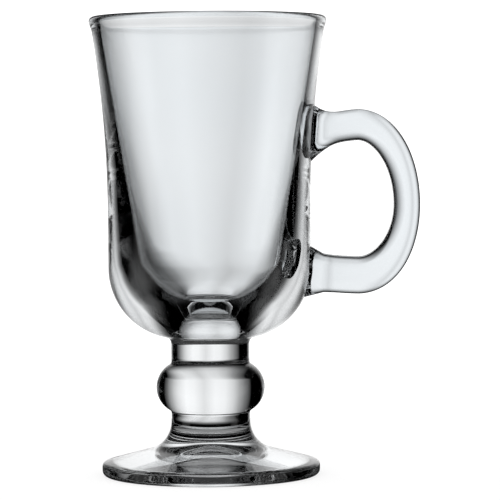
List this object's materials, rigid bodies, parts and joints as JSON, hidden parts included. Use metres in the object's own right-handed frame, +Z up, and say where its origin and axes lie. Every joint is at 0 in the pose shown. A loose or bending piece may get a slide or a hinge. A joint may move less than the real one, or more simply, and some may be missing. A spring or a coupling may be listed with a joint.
{
  "type": "irish coffee glass mug",
  "caption": "Clear pressed-glass mug for hot drinks, with a flared bowl on a short knopped stem, a broad round foot and a loop handle.",
  "frame": {"origin": "on the mug's axis, at the plane of the foot's resting ring", "axes": "+Z up along the mug's axis to the rim, +X towards the handle, +Y to the back"},
  "size_m": [0.1061, 0.0766, 0.1477],
  "materials": {
    "clear_glass": "fire-polished clear"
  },
  "bodies": {
    "root": {"bowl": "clear_glass", "stem": "clear_glass", "foot": "clear_glass", "handle": "clear_glass"}
  },
  "joints": []
}
